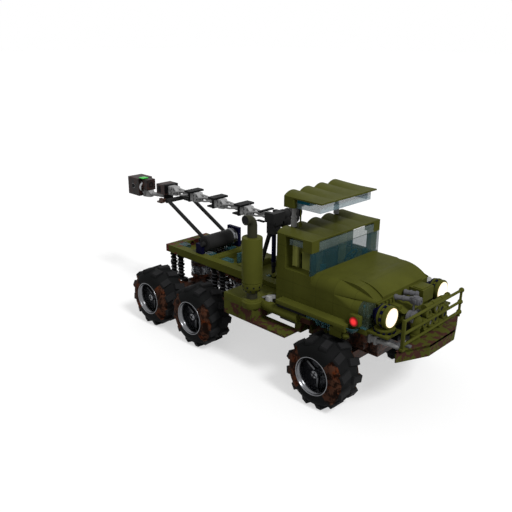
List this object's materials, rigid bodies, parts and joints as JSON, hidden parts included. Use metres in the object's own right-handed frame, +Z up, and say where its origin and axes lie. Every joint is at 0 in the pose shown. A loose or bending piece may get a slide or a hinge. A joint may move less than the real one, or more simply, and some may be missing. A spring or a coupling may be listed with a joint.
{
  "type": "brick-built toy six-wheel off-road truck with a recovery boom",
  "caption": "Brick-built toy truck: cab with a raised roof, bed, boom on a mast with a folding prop frame, exhaust stack, lamps, guard bars and lugged wheels.",
  "frame": {"origin": "on the ground, under the middle of the truck's overall length and width", "axes": "+X to the truck's front, +Y to its left, +Z up"},
  "size_m": [0.3426, 0.1232, 0.1378],
  "materials": {
    "olive": "smooth moulded plastic",
    "black": "smooth moulded plastic",
    "grey": "smooth moulded plastic",
    "brown": "worn brown plastic with mottled rust colour",
    "camo": "olive plastic with printed dark red patches",
    "chrome": "chrome plated",
    "tyre": "black rubber",
    "clear_blue": "clear light blue plastic",
    "white_lens": "white lamp lens",
    "red_lens": "red lamp lens"
  },
  "bodies": {
    "chassis": {"axle_middle": "brown", "axle_rear": "brown", "axle_front": "brown", "frame_rails": "black", "shock_absorbers": "black", "gear_drums": "chrome", "drive_shaft": "chrome", "bed_frame": "olive", "bed_tiles": "clear_blue", "cab_floor": "olive", "cab_sides": "olive", "cab_rear_wall": "olive", "cab_roof": "olive", "windscreen": "clear_blue", "dashboard": "clear_blue", "seats": "olive", "steering_wheel": "black", "hat_roof": "olive", "hat_posts": "grey", "hat_glass": "clear_blue", "hood": "olive", "fenders": "olive", "sills": "olive", "arch_blocks": "camo", "side_boxes": "camo", "under_bricks": "clear_blue", "exhaust_stack": "olive", "exhaust_pipes": "black", "mast": "black", "drum_brackets": "black", "lamp_housings": "olive", "headlamp_lenses": "white_lens", "marker_lenses": "red_lens", "corner_lenses": "clear_blue", "nose_block": "olive", "front_arms": "grey", "grille_guard": "olive", "bumper": "camo"},
    "boom": {"boom_links": "grey", "boom_plates": "black", "boom_blocks": "brown"},
    "prop": {"prop_drum": "black", "prop_frame": "black"},
    "knuckle_left": {"knuckle_left": "brown"},
    "knuckle_right": {"knuckle_right": "brown"},
    "wheel_front_left": {"tyre_front_left": "tyre", "rim_front_left": "chrome"},
    "wheel_front_right": {"tyre_front_right": "tyre", "rim_front_right": "chrome"},
    "wheel_middle_left": {"tyre_middle_left": "tyre", "rim_middle_left": "chrome"},
    "wheel_middle_right": {"tyre_middle_right": "tyre", "rim_middle_right": "chrome"},
    "wheel_rear_left": {"tyre_rear_left": "tyre", "rim_rear_left": "chrome"},
    "wheel_rear_right": {"tyre_rear_right": "tyre", "rim_rear_right": "chrome"}
  },
  "joints": [
    {"name": "steer_left", "type": "hinge", "parent": "chassis", "child": "knuckle_left", "pos_m": [0.111, 0.031, 0.025], "axis": [0, 0, 1], "range_deg": [-20, 20]},
    {"name": "steer_right", "type": "hinge", "parent": "chassis", "child": "knuckle_right", "pos_m": [0.111, -0.031, 0.025], "axis": [0, 0, 1], "range_deg": [-20, 20]},
    {"name": "roll_front_left", "type": "hinge", "parent": "knuckle_left", "child": "wheel_front_left", "pos_m": [0.111, 0.0483, 0.025], "axis": [0, 1, 0], "continuous": true},
    {"name": "roll_front_right", "type": "hinge", "parent": "knuckle_right", "child": "wheel_front_right", "pos_m": [0.111, -0.0483, 0.025], "axis": [0, 1, 0], "continuous": true},
    {"name": "roll_middle_left", "type": "hinge", "parent": "chassis", "child": "wheel_middle_left", "pos_m": [-0.017, 0.0483, 0.025], "axis": [0, 1, 0], "continuous": true},
    {"name": "roll_middle_right", "type": "hinge", "parent": "chassis", "child": "wheel_middle_right", "pos_m": [-0.017, -0.0483, 0.025], "axis": [0, 1, 0], "continuous": true},
    {"name": "roll_rear_left", "type": "hinge", "parent": "chassis", "child": "wheel_rear_left", "pos_m": [-0.073, 0.0483, 0.025], "axis": [0, 1, 0], "continuous": true},
    {"name": "roll_rear_right", "type": "hinge", "parent": "chassis", "child": "wheel_rear_right", "pos_m": [-0.073, -0.0483, 0.025], "axis": [0, 1, 0], "continuous": true},
    {"name": "boom_lift", "type": "hinge", "parent": "chassis", "child": "boom", "pos_m": [0.018, 0, 0.1042], "axis": [0, 1, 0], "range_deg": [0, 40]},
    {"name": "prop_swing", "type": "hinge", "parent": "chassis", "child": "prop", "pos_m": [-0.048, 0, 0.0705], "axis": [0, 1, 0], "range_deg": [-24, 0]}
  ],
  "couplings": [
    {"joint": "steer_right", "follows": "steer_left", "ratio": 1}
  ]
}
